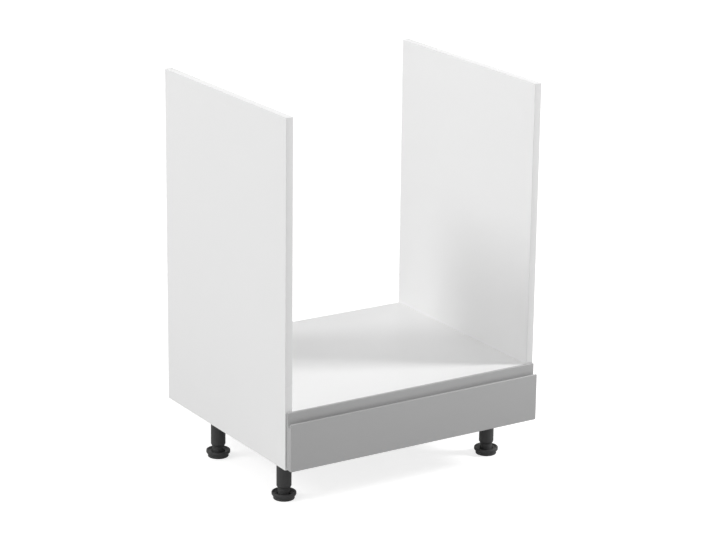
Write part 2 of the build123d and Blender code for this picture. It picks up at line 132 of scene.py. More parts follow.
world = bpy.data.worlds.new("studio")
world.use_nodes = True
scene.world = world
tree = world.node_tree
tree.nodes.clear()
direction = tree.nodes.new("ShaderNodeTexCoord")
leftness = tree.nodes.new("ShaderNodeVectorMath")
leftness.operation = "DOT_PRODUCT"
leftness.inputs[1].default_value = DOME_LEFT
sloped = math_node(tree, "MULTIPLY_ADD", leftness.outputs["Value"], DOME_SLOPE, DOME_LIGHT)
dome = tree.nodes.new("ShaderNodeBackground")
dome.inputs["Color"].default_value = PURE_WHITE
white = tree.nodes.new("ShaderNodeBackground")
white.inputs["Color"].default_value = PURE_WHITE
choice = tree.nodes.new("ShaderNodeMixShader")
world_out = tree.nodes.new("ShaderNodeOutputWorld")
link(tree, [
    (direction.outputs["Generated"], leftness.inputs[0]),
    (sloped, dome.inputs["Strength"]),
    (shown_directly(tree), choice.inputs["Fac"]),
    (dome.outputs[0], choice.inputs[1]),
    (white.outputs[0], choice.inputs[2]),
    (choice.outputs[0], world_out.inputs["Surface"]),
])
print("dome light", DOME_LIGHT)

# %% [markdown]
# Two square softboxes stand opposite each other: one behind the cabinet on the left, 34 degrees up, and one
# before it on the right, 30 degrees up. Each draws the soft shadow edge of one side panel across the deck. A
# lamp shines along its own -Z axis, so it is turned until that axis points at its target. The table gives
# each lamp's place, target, width in metres and power in watts.

# %% Lamps
CENTRE = (0.0, 0.0, 0.4)
LAMPS = {
    "softbox_left": ((-4.64, 1.78, 3.76), CENTRE, 1.2, 90.0),
    "softbox_right": ((5.99, -3.49, 4.40), CENTRE, 1.6, 448.0),
}


def lamp(name, place, target, size, power):
    """A square lamp that looks from a place at a target."""
    data = bpy.data.lights.new(name, "AREA")
    data.size = size
    data.energy = power
    lamp_object = bpy.data.objects.new(name, data)
    lamp_object.location = place
    towards = Vector(target) - Vector(place)
    lamp_object.rotation_euler = towards.to_track_quat("-Z", "Y").to_euler()
    scene.collection.objects.link(lamp_object)


for name, values in LAMPS.items():
    lamp(name, *values)
print("lamps:", sorted(LAMPS))

# %% [markdown]
# ## The floor
# A wide pale sheet lies under the feet. Lit by the same lamps it would look light grey, so camera rays also
# get a little glow from it: the lit floor then reaches white, while the soft shadows of the feet and of the
# cabinet stay where they fall. What the cabinet mirrors of the floor glows less, or its low faces would fade.

# %% Floor
FLOOR_HALF = 12.0
FLOOR_GREY = (0.50, 0.50, 0.50, 1.0)
FLOOR_GLOW = 0.74
MIRRORED_GLOW = 0.30
SQUARE = ((-1, -1), (1, -1), (1, 1), (-1, 1))

floor_mesh = bpy.data.meshes.new("floor")
floor_mesh.from_pydata([(x * FLOOR_HALF, y * FLOOR_HALF, 0.0) for x, y in SQUARE], [], [(0, 1, 2, 3)])
floor = bpy.data.objects.new("floor", floor_mesh)
scene.collection.objects.link(floor)

floor_paint = bpy.data.materials.new("studio_floor")
floor_paint.use_nodes = True
tree = floor_paint.node_tree
tree.nodes.clear()
paint = tree.nodes.new("ShaderNodeBsdfDiffuse")
paint.inputs["Color"].default_value = FLOOR_GREY
path = tree.nodes.new("ShaderNodeLightPath").outputs
seen = math_node(tree, "MAXIMUM", path["Is Camera Ray"], path["Is Transmission Ray"])
seen_glow = math_node(tree, "MULTIPLY", seen, FLOOR_GLOW)
mirrored_glow = math_node(tree, "MULTIPLY", path["Is Glossy Ray"], MIRRORED_GLOW)
glow = tree.nodes.new("ShaderNodeEmission")
lit = tree.nodes.new("ShaderNodeAddShader")
floor_out = tree.nodes.new("ShaderNodeOutputMaterial")
link(tree, [
    (math_node(tree, "ADD", seen_glow, mirrored_glow), glow.inputs["Strength"]),
    (paint.outputs[0], lit.inputs[0]),
    (glow.outputs[0], lit.inputs[1]),
    (lit.outputs[0], floor_out.inputs["Surface"]),
])
floor_mesh.materials.append(floor_paint)
print("floor", 2 * FLOOR_HALF, "m wide")

# %% [markdown]
# ## Node groups for effects that several finishes share
# A group is built once and used with other numbers in each material. Four are enough here: a fine surface for
# coatings and plastic, the drawn lines of rolled steel, the chips in the core of a board, and a mask that
# tells coated faces from sawn edges. They give out only values and colours that change over the surface. The
# helpers make an empty group and its usual nodes.

# %% Group tools
def new_group(name, inputs, outputs):
    """An empty shader group with float inputs, given as {name: default}, and (name, type) outputs."""
    group = bpy.data.node_groups.new(name, "ShaderNodeTree")
    for label, default in inputs.items():
        socket = group.interface.new_socket(label, in_out="INPUT", socket_type="NodeSocketFloat")
        socket.default_value = default
    for label, kind in outputs:
        group.interface.new_socket(label, in_out="OUTPUT", socket_type=kind)
    return group, group.nodes.new("NodeGroupInput"), group.nodes.new("NodeGroupOutput")


def object_place(tree, stretch=(1.0, 1.0, 1.0)):
    """The point on the object in metres, stretched along the axes."""
    source = tree.nodes.new("ShaderNodeTexCoord")
    mapping = tree.nodes.new("ShaderNodeMapping")
    mapping.inputs["Scale"].default_value = stretch
    tree.links.new(source.outputs["Object"], mapping.inputs["Vector"])
    return mapping.outputs["Vector"]


def noise(tree, scale, detail, vector, roughness=0.55):
    """A noise texture; its scale may be a number or a socket."""
    node = tree.nodes.new("ShaderNodeTexNoise")
    node.inputs["Detail"].default_value = detail
    node.inputs["Roughness"].default_value = roughness
    feed(tree, node.inputs["Scale"], scale)
    tree.links.new(vector, node.inputs["Vector"])
    return node


def mapped(tree, low, high, value, new_low, new_high):
    """A value from one range to another, clamped. The new ends may be numbers or sockets."""
    node = tree.nodes.new("ShaderNodeMapRange")
    node.inputs["From Min"].default_value = low
    node.inputs["From Max"].default_value = high
    tree.links.new(value, node.inputs["Value"])
    feed(tree, node.inputs["To Min"], new_low)
    feed(tree, node.inputs["To Max"], new_high)
    return node.outputs["Result"]


print("group tools:", [tool.__name__ for tool in (new_group, object_place, noise, mapped)])

# %% [markdown]
# No coating is quite even. Under a lamp it shows a grain finer than a millimetre or two, and places as large
# as a hand that are a little duller than others. One noise gives the grain, a second and much larger one the
# dull places, and each material says how fine and how rough it wants them.

# %% Group: fine surface
CLOUD_SCALE = 7.0

fine_surface, group_in, group_out = new_group(
    "fine_surface",
    {"Scale": 900.0, "Roughness Low": 0.3, "Roughness High": 0.4},
    [("Height", "NodeSocketFloat"), ("Roughness", "NodeSocketFloat"), ("Cloud", "NodeSocketFloat")],
)
place = object_place(fine_surface)
grain = noise(fine_surface, group_in.outputs["Scale"], 3.0, place)
cloud = noise(fine_surface, CLOUD_SCALE, 4.0, place)
rubbed = mapped(
    fine_surface, 0.3, 0.7, cloud.outputs["Fac"],
    group_in.outputs["Roughness Low"], group_in.outputs["Roughness High"],
)
link(fine_surface, [
    (grain.outputs["Fac"], group_out.inputs["Height"]),
    (rubbed, group_out.inputs["Roughness"]),
    (cloud.outputs["Fac"], group_out.inputs["Cloud"]),
])
print("group", fine_surface.name, "has", len(fine_surface.nodes), "nodes")

# %% [markdown]
# Rolled steel has fine lines along the direction in which it was drawn. Noise stretched a hundredfold along
# that direction gives them. All runners lie along Y, so the stretch can be written into the group.

# %% Group: drawn lines
LINE_SCALE = 1400.0
LINE_STRETCH = (1.0, 0.01, 1.0)
SPANGLE_SCALE = 90.0
SPANGLE_STRETCH = (1.0, 0.6, 1.0)

drawn_lines, group_in, group_out = new_group(
    "drawn_lines",
    {"Roughness Low": 0.25, "Roughness High": 0.45},
    [("Height", "NodeSocketFloat"), ("Roughness", "NodeSocketFloat"), ("Tint", "NodeSocketFloat")],
)
lines = noise(drawn_lines, LINE_SCALE, 4.0, object_place(drawn_lines, LINE_STRETCH), 0.6)
spangle = noise(drawn_lines, SPANGLE_SCALE, 2.0, object_place(drawn_lines, SPANGLE_STRETCH))
streaks = mapped(
    drawn_lines, 0.35, 0.65, lines.outputs["Fac"],
    group_in.outputs["Roughness Low"], group_in.outputs["Roughness High"],
)
link(drawn_lines, [
    (lines.outputs["Fac"], group_out.inputs["Height"]),
    (streaks, group_out.inputs["Roughness"]),
    (spangle.outputs["Fac"], group_out.inputs["Tint"]),
])
print("group", drawn_lines.name, "has", len(drawn_lines.nodes), "nodes")

# %% [markdown]
# The boards are pressed from wood chips, coarse in the middle and fine towards the faces. Voronoi cells make
# good chips: each cell gets its own shade, and the cracks between cells go dark. A little noise added to the
# place bends the straight sides of the cells. The group is used for every cut edge that carries no band.

# %% Group: board core
CHIP_SCALE = 420.0
CHIP_DARK = (0.30, 0.19, 0.10)
CHIP_LIGHT = (0.68, 0.51, 0.33)
CRACK_DARK = (0.08, 0.05, 0.03)
CRACK_WIDTH = 0.12
WOBBLE_SCALE = 260.0
WOBBLE_REACH = 0.004


def blended(tree, mask, first, second):
    """Two colours mixed by a mask. Each may be an (r, g, b) colour or a socket."""
    node = tree.nodes.new("ShaderNodeMix")
    node.data_type = "RGBA"
    tree.links.new(mask, node.inputs["Factor"])
    for label, colour in (("A", first), ("B", second)):
        entry = next(s for s in node.inputs if s.name == label and s.type == "RGBA")
        feed(tree, entry, (*colour, 1.0) if isinstance(colour, tuple) else colour)
    return next(s for s in node.outputs if s.type == "RGBA")


board_core, group_in, group_out = new_group(
    "board_core", {"Chip Scale": CHIP_SCALE}, [("Color", "NodeSocketColor"), ("Height", "NodeSocketFloat")],
)
chip_place = object_place(board_core)
chips = board_core.nodes.new("ShaderNodeTexVoronoi")
cracks = board_core.nodes.new("ShaderNodeTexVoronoi")
cracks.feature = "DISTANCE_TO_EDGE"
wobble = noise(board_core, WOBBLE_SCALE, 3.0, chip_place)
shifted = board_core.nodes.new("ShaderNodeVectorMath")
shifted.operation = "MULTIPLY_ADD"
shifted.inputs[1].default_value = (WOBBLE_REACH, WOBBLE_REACH, WOBBLE_REACH)
chip_tone = board_core.nodes.new("ShaderNodeSeparateColor")
link(board_core, [
    (group_in.outputs["Chip Scale"], chips.inputs["Scale"]),
    (group_in.outputs["Chip Scale"], cracks.inputs["Scale"]),
    (wobble.outputs["Color"], shifted.inputs[0]),
    (chip_place, shifted.inputs[2]),
    (shifted.outputs[0], chips.inputs["Vector"]),
    (shifted.outputs[0], cracks.inputs["Vector"]),
    (chips.outputs["Color"], chip_tone.inputs["Color"]),
])
toned = blended(board_core, chip_tone.outputs["Red"], CHIP_DARK, CHIP_LIGHT)
gap = mapped(board_core, 0.0, CRACK_WIDTH, cracks.outputs["Distance"], 0.25, 0.0)
link(board_core, [
    (blended(board_core, gap, toned, CRACK_DARK), group_out.inputs["Color"]),
    (cracks.outputs["Distance"], group_out.inputs["Height"]),
])
print("group", board_core.name, "has", len(board_core.nodes), "nodes")

# %% [markdown]
# Which face of a board is coated and which edge is bare follows from how the board is cut. A sheet is coated
# on both sides first and sawn afterwards, so every sawn edge shows the core until a band is ironed on. The
# mask reads the direction in which a surface faces: both large faces are coated, and so is a banded top.

# %% Group: coated faces
FACE_LIMIT = 0.9

coated_faces, group_in, group_out = new_group(
    "coated_faces",
    {"Across X": 0.0, "Across Y": 0.0, "Across Z": 0.0, "Banded Top": 0.0},
    [("Mask", "NodeSocketFloat")],
)
surface = coated_faces.nodes.new("ShaderNodeNewGeometry")
axes = coated_faces.nodes.new("ShaderNodeSeparateXYZ")
link(coated_faces, [(surface.outputs["Normal"], axes.inputs[0])])


def faces_along(reach, label):
    """1 where the surface faces far enough along an axis, times the input of that label."""
    test = math_node(coated_faces, "GREATER_THAN", reach, FACE_LIMIT)
    return math_node(coated_faces, "MULTIPLY", test, group_in.outputs[label])


mask = faces_along(axes.outputs["Z"], "Banded Top")
for axis in ("X", "Y", "Z"):
    both_ways = math_node(coated_faces, "ABSOLUTE", axes.outputs[axis])
    mask = math_node(coated_faces, "MAXIMUM", mask, faces_along(both_ways, "Across " + axis))
link(coated_faces, [(mask, group_out.inputs["Mask"])])
print("group", coated_faces.name, "has", len(coated_faces.nodes), "nodes")

# %% [markdown]
# ## Finishes
# Each finish starts from the standard surface shader. Numbers that are the same all over are written on its
# own sockets. What varies over the surface comes from the groups, and a Bump node turns height into relief.

# %% Finish tools
def finish(name, **uniform):
    """A material with the standard surface shader. Underscores in the socket names stand for spaces."""
    material = bpy.data.materials.new(name)
    material.use_nodes = True
    shader = material.node_tree.nodes["Principled BSDF"]
    for label, value in uniform.items():
        shader.inputs[label.replace("_", " ")].default_value = value
    return material, material.node_tree, shader


def place_group(tree, group, **values):
    """Put a group into a material. Underscores in the value names stand for spaces."""
    node = tree.nodes.new("ShaderNodeGroup")
    node.node_tree = group
    for label, value in values.items():
        node.inputs[label.replace("_", " ")].default_value = value
    return node


def mixed(tree, mask, first, second):
    """Two values mixed by a mask, each a number or a socket."""
    node = tree.nodes.new("ShaderNodeMix")
    feed(tree, node.inputs["Factor"], mask)
    feed(tree, node.inputs["A"], first)
    feed(tree, node.inputs["B"], second)
    return node.outputs["Result"]


def dressed(tree, shader, colour, roughness, height, strength, distance):
    """Colour, roughness and fine relief from sockets; the distance of the relief is in metres."""
    bump = tree.nodes.new("ShaderNodeBump")
    bump.inputs["Strength"].default_value = strength
    bump.inputs["Distance"].default_value = distance
    link(tree, [
        (colour, shader.inputs["Base Color"]),
        (roughness, shader.inputs["Roughness"]),
        (height, bump.inputs["Height"]),
        (bump.outputs["Normal"], shader.inputs["Normal"]),
    ])


print("finish tools:", [tool.__name__ for tool in (finish, place_group, mixed, dressed)])

# %% [markdown]
# Melamine is paper soaked in resin and pressed on the board between polished plates, so it is smooth and
# takes sharp reflections, with a very faint unevenness from the chips below. It is never quite pure white.

# %% Coated boards
WHITE_LOW = (0.856, 0.856, 0.855)
WHITE_HIGH = (0.866, 0.866, 0.865)
DRAWER_LOW = (0.80, 0.80, 0.79)
DRAWER_HIGH = (0.83, 0.83, 0.82)
CORE_ROUGHNESS = 0.85
COAT_RELIEF = 0.01


def board_finish(name, low, high, **faces):
    """A coated board with bare sawn edges. Faces names the coated directions."""
    material, tree, shader = finish(name)
    fine = place_group(tree, fine_surface, Scale=520.0, Roughness_Low=0.30, Roughness_High=0.38)
    core = place_group(tree, board_core)
    mask = place_group(tree, coated_faces, **faces).outputs["Mask"]
    coat = blended(tree, fine.outputs["Cloud"], low, high)
    coat_height = math_node(tree, "MULTIPLY", fine.outputs["Height"], COAT_RELIEF)
    dressed(
        tree, shader,
        blended(tree, mask, core.outputs["Color"], coat),
        mixed(tree, mask, CORE_ROUGHNESS, fine.outputs["Roughness"]),
        mixed(tree, mask, core.outputs["Height"], coat_height), 0.35, 0.0004,
    )
    return material


side_finish = board_finish("side_melamine", WHITE_LOW, WHITE_HIGH, Across_X=1.0)
deck_finish = board_finish("deck_melamine", WHITE_LOW, WHITE_HIGH, Across_Z=1.0)
rail_finish = board_finish("rail_melamine", WHITE_LOW, WHITE_HIGH, Across_Y=1.0)
box_side_finish = board_finish("box_side_melamine", DRAWER_LOW, DRAWER_HIGH, Across_X=1.0, Banded_Top=1.0)
box_end_finish = board_finish("box_end_melamine", DRAWER_LOW, DRAWER_HIGH, Across_Y=1.0, Banded_Top=1.0)
print("materials so far:", len(bpy.data.materials))

# %% [markdown]
# The edge band is an extruded strip, a little softer and less glossy than the coating. It is glued on hot,
# then trimmed flush and scraped, which leaves very fine marks. The band, the lacquer, the black plastic and
# the bumpers are each of one even colour, so one function makes all four: a tone that drifts from a low to a
# high one, over the fine surface.

# %% Edging
def even_finish(name, low, high, grain, roughness, relief, **uniform):
    """A tone between low and high. Roughness is (low, high), relief is (strength, distance)."""
    material, tree, shader = finish(name, **uniform)
    smoothest, roughest = roughness
    fine = place_group(tree, fine_surface, Scale=grain, Roughness_Low=smoothest, Roughness_High=roughest)
    tone = blended(tree, fine.outputs["Cloud"], low, high)
    dressed(tree, shader, tone, fine.outputs["Roughness"], fine.outputs["Height"], *relief)
    return material


edging_finish = even_finish(
    "edging_plastic", (0.834, 0.834, 0.833), (0.844, 0.844, 0.843),
    700.0, (0.18, 0.30), (0.15, 0.0001), IOR=1.5, Specular_IOR_Level=0.30,
)
print("made", edging_finish.name)

# %% [markdown]
# The drawer bottom is hardboard: wood fibres pressed wet to a dense brown sheet. Its upper face is lacquered
# white, the lower one keeps the fibres and the faint weave of the press screen.

# %% Hardboard
FIBRE_DARK = (0.20, 0.10, 0.045)
FIBRE_LIGHT = (0.46, 0.28, 0.15)
BARE_ROUGHNESS = 0.75

hardboard_finish, tree, shader = finish("hardboard_sheet")
fine = place_group(tree, fine_surface, Scale=650.0, Roughness_Low=0.30, Roughness_High=0.45)
surface = tree.nodes.new("ShaderNodeNewGeometry")
upward = tree.nodes.new("ShaderNodeSeparateXYZ")
link(tree, [(surface.outputs["Normal"], upward.inputs[0])])
white_side = mapped(tree, 0.4, 0.6, upward.outputs["Z"], 0.0, 1.0)
fibres = noise(tree, 300.0, 6.0, object_place(tree, (1.0, 0.25, 1.0)), 0.7)
brown = blended(tree, fibres.outputs["Fac"], FIBRE_DARK, FIBRE_LIGHT)
white_paint = blended(tree, fine.outputs["Cloud"], (0.79, 0.79, 0.78), (0.83, 0.83, 0.82))
dressed(
    tree, shader,
    blended(tree, white_side, brown, white_paint),
    mixed(tree, white_side, BARE_ROUGHNESS, fine.outputs["Roughness"]),
    fibres.outputs["Fac"], 0.2, 0.0002,
)
print("made", hardboard_finish.name)

# %% [markdown]
# The front is a fibre board, milled to its grip first and then lacquered grey all over, so that no band or
# joint shows. Sprayed lacquer levels out with a very shallow waviness, which softens what it reflects.

# %% Grey lacquer
lacquer_finish = even_finish(
    "front_lacquer", (0.424, 0.424, 0.425), (0.430, 0.430, 0.431),
    260.0, (0.30, 0.34), (0.06, 0.0002),
)
print("made", lacquer_finish.name)

# %% [markdown]
# The metals differ in how they were made. The runners are rolled from bright zinc plated strip, the ball
# cages are pressed from thinner strip, the balls are polished, the cams are cast, and the screws carry a
# slightly uneven plating. Strip takes the drawn lines, the rest the fine surface.

# %% Metals
METAL_RELIEF = 0.0001


def metal_finish(name, dull, bright, group, strength, **group_values):
    """A metal whose tint and roughness come from a surface group."""
    material, tree, shader = finish(name, Metallic=1.0)
    surface = place_group(tree, group, **group_values).outputs
    tint = surface.get("Tint") or surface["Cloud"]
    colour = blended(tree, mapped(tree, 0.3, 0.7, tint, 0.0, 1.0), dull, bright)
    dressed(tree, shader, colour, surface["Roughness"], surface["Height"], strength, METAL_RELIEF)
    return material


runner_finish = metal_finish("runner_zinc", (0.64, 0.65, 0.66), (0.70, 0.71, 0.72), drawn_lines, 0.25,
                             Roughness_Low=0.20, Roughness_High=0.34)
cage_finish = metal_finish("cage_strip", (0.50, 0.50, 0.48), (0.66, 0.66, 0.63), drawn_lines, 0.2,
                           Roughness_Low=0.28, Roughness_High=0.42)
ball_finish = metal_finish("ball_polish", (0.76, 0.76, 0.77), (0.84, 0.84, 0.85), fine_surface, 0.02,
                           Scale=2000.0, Roughness_Low=0.06, Roughness_High=0.12)
cam_finish = metal_finish("cam_casting", (0.52, 0.52, 0.53), (0.66, 0.66, 0.67), fine_surface, 0.5,
                          Scale=1600.0, Roughness_Low=0.36, Roughness_High=0.5)
screw_finish = metal_finish("screw_zinc", (0.58, 0.58, 0.55), (0.74, 0.74, 0.73), fine_surface, 0.3,
                            Scale=2400.0, Roughness_Low=0.24, Roughness_High=0.38)
print("materials so far:", len(bpy.data.materials))

# %% [markdown]
# The legs are moulded in black plastic. The mould was spark eroded, which gives the skin a fine even grain
# and a dull sheen. The bumpers are a clear soft resin. The dowels are beech, and as they lie along X or along
# Y, the noise of their grain is drawn out in both directions.

# %% Plastic, bumper and beech
GRAIN_STRETCH = (0.12, 0.12, 1.0)

plastic_finish = even_finish(
    "black_moulding", (0.047, 0.0472, 0.0477), (0.055, 0.0553, 0.0558),
    1500.0, (0.46, 0.60), (0.4, 0.0002), Specular_IOR_Level=0.35,
)
bumper_finish = even_finish(
    "clear_bumper", (0.80, 0.82, 0.83), (0.88, 0.89, 0.90),
    900.0, (0.22, 0.36), (0.1, 0.0001), IOR=1.48, Transmission_Weight=0.6,
)
beech_finish, tree, shader = finish("beech_wood")
grain = noise(tree, 420.0, 6.0, object_place(tree, GRAIN_STRETCH), 0.65).outputs["Fac"]
figure = mapped(tree, 0.3, 0.7, grain, 0.0, 1.0)
tone = blended(tree, figure, (0.52, 0.34, 0.19), (0.74, 0.56, 0.37))
dressed(tree, shader, tone, mapped(tree, 0.3, 0.7, grain, 0.5, 0.7), grain, 0.4, 0.0002)
print("made", plastic_finish.name, bumper_finish.name, beech_finish.name)

# %% [markdown]
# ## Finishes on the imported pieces
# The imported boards, runners, cages and dowels already have the right shape. Each gets its finish in its own
# material slot, and nothing else about it changes. A name is matched by its longest fitting start.

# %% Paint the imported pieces
FINISHES = {
    "side_panel": side_finish, "bottom_panel": deck_finish, "oven_shelf": deck_finish,
    "back_rail": rail_finish, "edge_band": edging_finish, "drawer_side": box_side_finish,
    "drawer_subfront": box_end_finish, "drawer_back": box_end_finish, "drawer_bottom": hardboard_finish,
    "drawer_front": lacquer_finish, "runner_outer": runner_finish, "runner_middle": runner_finish,
    "runner_inner": runner_finish, "cage": cage_finish, "balls": ball_finish, "cam_housings": cam_finish,
    "cam_bolts": screw_finish, "dowels": beech_finish, "box_dowels": beech_finish,
    "leg_plate": plastic_finish, "leg_tube": plastic_finish, "foot": plastic_finish,
    "front_bumpers": bumper_finish, "runner_screws": screw_finish, "leg_screws": screw_finish,
    "front_screws": screw_finish,
}
for name, node in nodes.items():
    kind = max((k for k in FINISHES if name.startswith(k)), key=len)
    node.data.materials.clear()
    node.data.materials.append(FINISHES[kind])
print("painted", len(nodes), "packed pieces")

# %% [markdown]
# ## Outlines
# A milled, moulded or turned piece is best described by its outline: corner points, with a radius for each
# corner. The radius is drawn as a short chain of points on an arc that touches both sides of the corner.
# Outlines are in millimetres.

# %% Outlines
MM = 0.001
ARC_STEPS = 5


def rounded(corners, steps=ARC_STEPS):
    """An outline through (a, b, radius) corners, with an arc at each corner that has a radius."""
    line = []
    for index, (a, b, radius) in enumerate(corners):
        point = Vector((a, b))
        if radius == 0:
            line.append((a, b))
            continue
        back = (Vector(corners[index - 1][:2]) - point).normalized()
        ahead = (Vector(corners[(index + 1) % len(corners)][:2]) - point).normalized()
        half_angle = back.angle(ahead) / 2
        reach = radius / math.tan(half_angle)
        middle = point + (back + ahead).normalized() * radius / math.sin(half_angle)
        first = point + back * reach - middle
        last = point + ahead * reach - middle
        turn = first.angle_signed(last)
        for step in range(steps + 1):
            spoke = first.copy()
            spoke.rotate(Matrix.Rotation(-turn * step / steps, 2))
            line.append(tuple(middle + spoke))
    return line


print("points in a square with one round corner:", len(rounded([(0, 0, 1), (9, 0, 0), (9, 9, 0), (0, 9, 0)])))

# %% [markdown]
# ## From outline to piece
# A straight piece is its outline at several places along a line, joined by faces. Such a shape is kept as a
# list of points and a list of faces until it is placed. Then it becomes a mesh in metres, gets its finish and
# rides on the body that it belongs to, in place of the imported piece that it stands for.

# %% Pieces
def pushed(sections):
    """Join outlines of equal length, each given as 3-D points, into one solid with flat ends."""
    count = len(sections[0])
    points = [tuple(p) for section in sections for p in section]
    faces = [tuple(range(count)), tuple(range(len(points) - count, len(points)))]
    for level in range(len(sections) - 1):
        start = level * count
        for k in range(count):
            ahead = (k + 1) % count
            faces.append((start + k, start + ahead, start + count + ahead, start + count + k))
    return points, faces


def as_mesh(name, shape):
    """A mesh in metres with faces that all look outwards."""
    mesh = bpy.data.meshes.new(name)
    mesh.from_pydata([tuple(c * MM for c in p) for p in shape[0]], [], shape[1])
    work = bmesh.new()
    work.from_mesh(mesh)
    bmesh.ops.recalc_face_normals(work, faces=work.faces)
    work.to_mesh(mesh)
    work.free()
    return mesh


def piece(name, shape, material, slot, body, *stands_for, smooth=30.0):
    """Put a shape into the scene, riding on a body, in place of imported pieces."""
    mesh = as_mesh(name, shape)
    mesh.materials.append(material)
    item = bpy.data.objects.new(name, mesh)
    scene.collection.objects.link(item)
    mesh.shade_smooth()
    mesh.set_sharp_from_angle(angle=math.radians(smooth))
    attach(item, body)
    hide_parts(*stands_for)
    print(f"{name}: {len(mesh.polygons)} faces")


print("piece tools:", [tool.__name__ for tool in (pushed, as_mesh, piece)])

# %% [markdown]
# ## The drawer front
# The ends of a lacquered bar are eased with a small radius, since lacquer would run off a sharp arris. So the
# outline shrinks a little over the last millimetre at each end. Each point of it moves inwards, midway
# between the directions of its two sides.

# %% Eased ends
EASE_STEPS = 4


def shrunk(line, amount):
    """The outline moved inwards by an amount."""
    area = sum(a[0] * b[1] - b[0] * a[1] for a, b in zip(line, line[1:] + line[:1]))
    side = 1 if area > 0 else -1
    result = []
    for before, here, after in zip(line[-1:] + line[:-1], line, line[1:] + line[:1]):
        first = (Vector(here) - Vector(before)).normalized()
        second = (Vector(after) - Vector(here)).normalized()
        inward = Vector((-first.y - second.y, first.x + second.x)).normalized() * side
        result.append(tuple(Vector(here) + inward * amount))
    return result


def eased_bar(line, start, end, ease, to_point):
    """A bar between start and end whose outline shrinks in a quarter round at both ends."""
    half = []
    for step in range(EASE_STEPS + 1):
        angle = math.pi / 2 * step / EASE_STEPS
        half.append((ease * (1 - math.cos(angle)), shrunk(line, ease * (1 - math.sin(angle)))))
    sections = [[to_point(start + along, a, b) for a, b in outline] for along, outline in half]
    sections += [[to_point(end - along, a, b) for a, b in outline] for along, outline in reversed(half)]
    return pushed(sections)


print("sections in an eased bar:", 2 * (EASE_STEPS + 1))

# %% [markdown]
# The grip is milled along the whole upper edge, seen from the end like a letter J: a web at the back that
# reaches full height, a round-bottomed groove where the fingers go, and a thin lip in front. A cutter with a
# round nose makes the groove in one pass, so its bottom is a half circle, drawn as two corners whose radius
# is a hair under half the width. The ease of the ends is less than the radius of every outer edge, or the
# shrunk outline would fold over itself.

# %% Drawer front
low, high = (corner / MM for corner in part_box("drawer_front"))
LIP_TOP = 202.0
LIP_THICK = 4.0
WEB_THICK = 5.5
GROOVE_LOW = 192.0
EDGE = 1.0
END_EASE = 0.9
lip_back = low.y + LIP_THICK
web_front = high.y - WEB_THICK
nose = (web_front - lip_back) / 2 * 0.999

front_line = rounded([
    (web_front, GROOVE_LOW, nose), (web_front, high.z, EDGE), (high.y, high.z, EDGE), (high.y, low.z, EDGE),
    (low.y, low.z, EDGE), (low.y, LIP_TOP, EDGE), (lip_back, LIP_TOP, EDGE), (lip_back, GROOVE_LOW, nose),
], steps=8)
front = eased_bar(front_line, low.x, high.x, END_EASE, lambda along, a, b: (along, a, b))
piece("front_with_grip", front, lacquer_finish, "grey_lacquer", "drawer", "drawer_front", smooth=40.0)

# %% [markdown]
# ## Edge bands
# A band is 0.8 mm thick. After gluing, its two long edges are rounded with a small cutter so that they feel
# soft. These fine rounded lines catch the light and draw the bright outline of every panel. The table names,
# for each band, the axis across it, the axis that it faces along and the axis of its length.

# %% Edge bands
BAND_EASE = 0.6
BAND_END_EASE = 0.25
BANDS = {
    "edge_band_front_left": ("x", "y", "z"), "edge_band_front_right": ("x", "y", "z"),
    "edge_band_top_left": ("x", "z", "y"), "edge_band_top_right": ("x", "z", "y"),
    "edge_band_shelf": ("z", "y", "x"), "edge_band_bottom": ("z", "y", "x"),
}


def band(width_axis, out_axis, long_axis, low, high):
    """A strip whose two outer long edges are rounded."""
    outer, inner = (high, low) if out_axis == "z" else (low, high)
    first, second = getattr(low, width_axis), getattr(high, width_axis)
    near, far = getattr(outer, out_axis), getattr(inner, out_axis)
    line = rounded([(first, near, BAND_EASE), (second, near, BAND_EASE), (second, far, 0), (first, far, 0)])

    def to_point(along, a, b):
        values = {width_axis: a, out_axis: b, long_axis: along}
        return values["x"], values["y"], values["z"]

    return eased_bar(line, getattr(low, long_axis), getattr(high, long_axis), BAND_END_EASE, to_point)


for name, directions in BANDS.items():
    low, high = (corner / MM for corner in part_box(name))
    strip = band(*directions, low, high)
    piece(name.replace("edge_band", "soft_band"), strip, edging_finish, "white_edging", "carcass", name)

# %% [markdown]
# ## Legs
# Each leg is three mouldings. A socket plate is screwed under the board, a tube is pushed into its collar,
# and the foot screws into the tube, so that turning the foot by hand levels the cabinet. All but the plate
# are round, so their outlines are spun round the Z axis instead of pushed along a line.

# %% Turned shapes
ROUND_SIDES = 64


def turned(line, sides, closed=False, shift=None):
    """Spin (radius, height) points round the Z axis. Shift, if given, changes each radius."""
    points, faces, rings = [], [], []
    for radius, height in line:
        count = 1 if radius == 0 else sides
        rings.append(range(len(points), len(points) + count))
        for k in range(count):
            angle = 2 * math.pi * k / sides
            reach = shift(radius, height, angle) if shift else radius
            points.append((reach * math.cos(angle), reach * math.sin(angle), height))
    pairs = list(zip(rings, rings[1:])) + ([(rings[-1], rings[0])] if closed else [])
    for low, high in pairs:
        for k in range(sides):
            ahead = k + 1
            corners = [low[k % len(low)], low[ahead % len(low)], high[ahead % len(high)], high[k % len(high)]]
            faces.append(tuple(dict.fromkeys(corners)))
    return points, faces


def merged(shapes):
    """Several shapes as one."""
    points, faces = [], []
    for more_points, more_faces in shapes:
        start = len(points)
        points += more_points
        faces += [tuple(i + start for i in face) for face in more_faces]
    return points, faces


def placed(shape, place, axis=(0, 0, 1)):
    """A shape moved to a place, with its own Z axis turned along the given axis."""
    turn = Vector((0, 0, 1)).rotation_difference(Vector(axis)).to_matrix()
    return [tuple(turn @ Vector(p) + Vector(place)) for p in shape[0]], shape[1]


print("a turned ring takes", ROUND_SIDES, "points")

